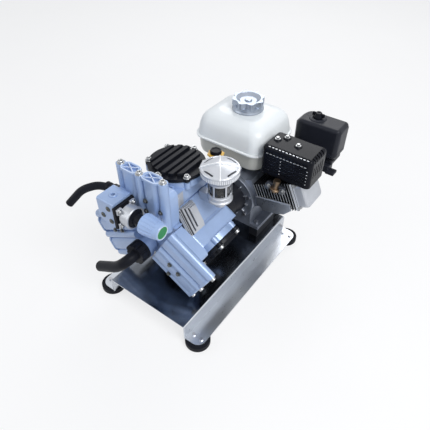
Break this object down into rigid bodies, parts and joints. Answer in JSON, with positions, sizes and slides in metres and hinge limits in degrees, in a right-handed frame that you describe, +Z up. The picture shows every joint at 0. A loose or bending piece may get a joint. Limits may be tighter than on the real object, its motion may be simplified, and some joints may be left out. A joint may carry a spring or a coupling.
{
  "type": "portable fire pump",
  "caption": "Engine-driven three-arm diaphragm pump set on a bent aluminium tray with round rubber feet.",
  "frame": {"origin": "middle of the whole set's footprint box, on the floor under the rubber feet", "axes": "+X to the right seen from the pump end, +Y from the pump end to the engine end, +Z up"},
  "size_m": [0.5394, 0.6894, 0.483],
  "materials": {
    "bare_aluminium": "brushed",
    "dark_aluminium": "cast, painted dark",
    "blue_grey_paint": "satin paint on cast aluminium",
    "blue_grey_plastic": "satin",
    "black_paint": "satin black paint on cast aluminium",
    "black_steel_sheet": "gloss black",
    "dark_steel": "satin",
    "bright_steel": "zinc plated",
    "brass": "machined",
    "rubber": "matte",
    "black_plastic": "satin",
    "yellow_plastic": "satin",
    "clear_plastic": "clear",
    "white_paint": "gloss",
    "bright_cap": "bright",
    "foam": "open cell foam"
  },
  "bodies": {
    "base": {"tray": "bare_aluminium", "rubber_feet": "rubber", "pump_saddle": "dark_steel", "engine_risers": "dark_steel", "machine_screws": "bright_steel", "pump_bolts": "bright_steel", "pump_crankcase": "blue_grey_paint", "pump_cylinders": "blue_grey_paint", "cover_top": "black_paint", "cover_right": "black_paint", "cover_left": "black_paint", "diaphragms": "rubber", "pistons": "bare_aluminium", "shaft_bearings": "bright_steel", "valve_block_top": "blue_grey_paint", "valve_block_right": "blue_grey_paint", "valve_block_left": "blue_grey_paint", "check_valves": "brass", "regulator_body": "blue_grey_paint", "regulator_gasket": "rubber", "regulator_barrel": "bare_aluminium", "regulator_spring": "bright_steel", "outlet_valve": "black_plastic", "outlet_hose_tail": "black_plastic", "suction_union_nut": "black_plastic", "suction_hose_tail": "black_plastic", "oil_cup_base": "bare_aluminium", "oil_cup_glass": "clear_plastic", "oil_cup_dome": "bare_aluminium", "gearbox": "black_paint", "oil_filler_neck": "yellow_plastic", "engine_crankcase": "dark_aluminium", "engine_side_cover": "dark_aluminium", "engine_cylinder": "black_paint", "rocker_cover": "bare_aluminium", "fan_shroud": "black_steel_sheet", "fuel_tank": "white_paint", "heat_shield": "black_steel_sheet", "muffler": "dark_steel", "air_cleaner_base": "black_plastic", "air_cleaner_cover": "black_plastic", "filter_element": "foam", "carburettor": "dark_aluminium"},
    "crank_rotor": {"crankshaft": "bright_steel", "flywheel": "dark_aluminium", "pinion": "bright_steel"},
    "eccentric_rotor": {"eccentric_shaft": "bright_steel", "driven_gear": "bright_steel"},
    "pressure_knob": {"pressure_knob": "blue_grey_plastic"},
    "spring_seat": {"spring_seat": "brass"},
    "fuel_cap": {"fuel_cap": "bright_cap"},
    "oil_filler_cap": {"oil_filler_cap": "black_plastic"},
    "air_cleaner_knob": {"air_cleaner_knob": "black_plastic"},
    "outlet_lever": {"outlet_lever": "black_plastic"},
    "recoil_handle": {"recoil_handle": "black_plastic"},
    "recoil_pulley": {"recoil_pulley": "black_plastic"},
    "throttle_lever": {"throttle_lever": "bright_steel"},
    "choke_lever": {"choke_lever": "black_plastic"},
    "fuel_valve_lever": {"fuel_valve_lever": "black_plastic"},
    "engine_switch": {"engine_switch": "black_plastic"}
  },
  "joints": [
    {"name": "crank_spin", "type": "hinge", "parent": "base", "child": "crank_rotor", "pos_m": [0.01914, 0.13475, 0.2135], "axis": [0, 1, 0], "continuous": true},
    {"name": "eccentric_spin", "type": "hinge", "parent": "base", "child": "eccentric_rotor", "pos_m": [-0.02686, -0.11525, 0.274], "axis": [0, 1, 0], "continuous": true},
    {"name": "pressure_knob_turn", "type": "hinge", "parent": "base", "child": "pressure_knob", "pos_m": [0.01344, -0.28525, 0.368], "axis": [-1, 0, 0], "range_deg": [0, 1080]},
    {"name": "spring_seat_travel", "type": "slide", "parent": "base", "child": "spring_seat", "axis": [-1, 0, 0], "range_m": [0, 0.0045], "deforming": ["regulator_spring"]},
    {"name": "fuel_cap_turn", "type": "hinge", "parent": "base", "child": "fuel_cap", "pos_m": [-0.01486, 0.20375, 0.464], "axis": [0, 0, 1], "range_deg": [0, 90]},
    {"name": "oil_filler_cap_turn", "type": "hinge", "parent": "base", "child": "oil_filler_cap", "pos_m": [0.00314, 0.01775, 0.384], "axis": [0, 0, 1], "range_deg": [0, 360]},
    {"name": "air_cleaner_knob_turn", "type": "hinge", "parent": "base", "child": "air_cleaner_knob", "pos_m": [0.16614, 0.30775, 0.434], "axis": [0, 0, 1], "range_deg": [0, 720]},
    {"name": "outlet_lever_turn", "type": "hinge", "parent": "base", "child": "outlet_lever", "pos_m": [-0.13436, -0.25325, 0.358], "axis": [0, 1, 0], "range_deg": [0, 90]},
    {"name": "recoil_pull", "type": "slide", "parent": "base", "child": "recoil_handle", "axis": [-0.5, 0, 0.866], "range_m": [0, 0.65], "stiffness_N_per_m": 20, "springref_m": -0.3},
    {"name": "recoil_pulley_spin", "type": "hinge", "parent": "base", "child": "recoil_pulley", "pos_m": [0.01914, 0.31475, 0.2135], "axis": [0, 1, 0], "range_deg": [-830, 0]},
    {"name": "throttle_lever_swing", "type": "hinge", "parent": "base", "child": "throttle_lever", "pos_m": [0.11514, 0.19075, 0.328], "axis": [0, 1, 0], "range_deg": [-20, 30]},
    {"name": "choke_lever_swing", "type": "hinge", "parent": "base", "child": "choke_lever", "pos_m": [0.17514, 0.20675, 0.306], "axis": [1, 0, 0], "range_deg": [0, 60]},
    {"name": "fuel_valve_lever_swing", "type": "hinge", "parent": "base", "child": "fuel_valve_lever", "pos_m": [0.17514, 0.20675, 0.288], "axis": [1, 0, 0], "range_deg": [-60, 0]},
    {"name": "engine_switch_turn", "type": "hinge", "parent": "base", "child": "engine_switch", "pos_m": [-0.08286, 0.28475, 0.2585], "axis": [0, 1, 0], "range_deg": [0, 60]}
  ],
  "couplings": [
    {"joint": "eccentric_spin", "follows": "crank_spin", "ratio": -0.22581},
    {"joint": "spring_seat_travel", "follows": "pressure_knob_turn", "m_per_rad": 0.00023871},
    {"joint": "recoil_pulley_spin", "follows": "recoil_pull", "rad_per_m": -22.222}
  ]
}
